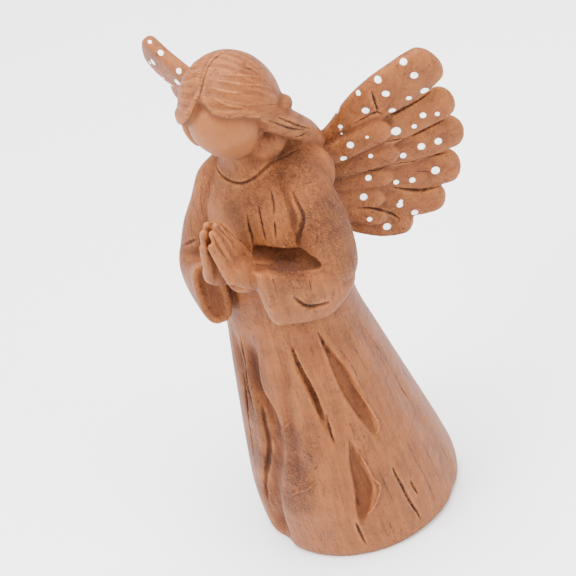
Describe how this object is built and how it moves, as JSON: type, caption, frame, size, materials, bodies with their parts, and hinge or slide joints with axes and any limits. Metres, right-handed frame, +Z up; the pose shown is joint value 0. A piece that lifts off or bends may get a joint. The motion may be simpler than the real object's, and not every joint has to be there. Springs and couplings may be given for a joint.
{
  "type": "angel figurine",
  "caption": "Standing praying angel in a long folded gown with wide sleeves, parted hair, a smooth face and spread feathered wings, cast to look like carved wood.",
  "frame": {"origin": "on the underside, at the middle of the gown's foot", "axes": "+Z up from the underside to the crown of the head; the figure looks along -Y and its own left side is +X"},
  "size_m": [0.1758, 0.1278, 0.2987],
  "materials": {
    "carved_resin": "cast resin with a copper-brown carved-wood look, satin sheen"
  },
  "bodies": {
    "root": {"angel_figure": "carved_resin"}
  },
  "joints": []
}
